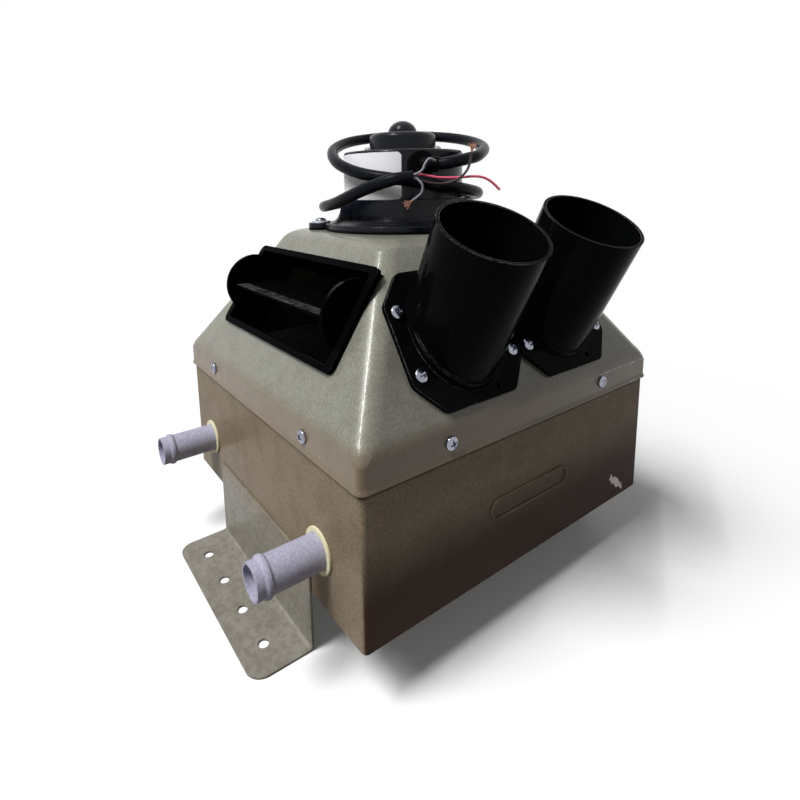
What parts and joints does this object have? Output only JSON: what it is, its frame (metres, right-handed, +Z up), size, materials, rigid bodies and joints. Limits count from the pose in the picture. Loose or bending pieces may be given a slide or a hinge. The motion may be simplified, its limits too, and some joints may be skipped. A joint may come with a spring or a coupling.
{
  "type": "cab heater",
  "caption": "Hot-water cab heater: sheet metal case on foot brackets, sloped hood with duct spigots and a swivelling outlet, blower motor on top.",
  "frame": {"origin": "centre of the foot bolt pattern, on the undersides of the feet", "axes": "+X along the front face away from the hose pipes, +Y from the duct spigots to the back, +Z up along the motor shaft"},
  "size_m": [0.328, 0.2832, 0.311],
  "materials": {
    "hammertone": "glossy grey-brown hammertone enamel over steel sheet",
    "galvanised": "dull zinc coated sheet",
    "core_metal": "dull soldered metal",
    "pipe_metal": "matt grey, slightly oxidised",
    "seal_rubber": "matt cream",
    "foam": "matt black foam",
    "screw_steel": "bright zinc plated",
    "black_gloss": "glossy black moulded plastic",
    "black_satin": "satin black enamel",
    "black_rubber": "satin black",
    "label": "blank white, satin",
    "motor_steel": "plain steel",
    "magnet": "dark sintered",
    "bronze": "sintered bronze",
    "copper": "copper",
    "holder_board": "brown board",
    "carbon": "matt carbon",
    "wheel_plastic": "satin dark grey",
    "grey_insulation": "satin grey",
    "red_insulation": "satin pink red"
  },
  "bodies": {
    "heater": {"case_body": "hammertone", "foot_bracket_left": "hammertone", "foot_bracket_right": "hammertone", "hood": "hammertone", "fan_pan": "galvanised", "core_tank_feed": "core_metal", "core_tank_return": "core_metal", "core_tubes": "core_metal", "core_fins": "core_metal", "core_side_plates": "core_metal", "core_foam_lower": "foam", "core_foam_upper": "foam", "inlet_pipe": "pipe_metal", "outlet_pipe": "pipe_metal", "inlet_seal": "seal_rubber", "outlet_seal": "seal_rubber", "lip_screws": "screw_steel", "spigot_left": "black_gloss", "spigot_right": "black_gloss", "spigot_screws": "screw_steel", "outlet_frame": "black_gloss", "motor_gasket": "black_rubber", "motor_flange": "black_satin", "motor_can": "black_satin", "motor_end_plate": "black_satin", "motor_cap": "black_satin", "motor_label": "label", "motor_magnets": "magnet", "motor_bush_lower": "bronze", "motor_bush_upper": "bronze", "brush_holder": "holder_board", "motor_brushes": "carbon", "motor_screws": "screw_steel", "motor_washers": "screw_steel", "can_screws": "screw_steel", "lead_grommet": "black_rubber", "lead_sleeve": "black_gloss", "grey_wires": "grey_insulation", "red_wire": "red_insulation", "wire_ends": "copper"},
    "fan": {"motor_shaft": "motor_steel", "armature_core": "motor_steel", "armature_windings": "copper", "commutator": "copper", "blower_wheel": "wheel_plastic", "blower_nut": "motor_steel"},
    "deflector": {"outlet_drum": "black_gloss"}
  },
  "joints": [
    {"name": "fan_spin", "type": "hinge", "parent": "heater", "child": "fan", "pos_m": [0, 0, 0.24], "axis": [0, 0, 1], "continuous": true},
    {"name": "outlet_swing", "type": "hinge", "parent": "heater", "child": "deflector", "pos_m": [-0.09074, 0, 0.19363], "axis": [0, 1, 0], "range_deg": [-60, 60]}
  ]
}
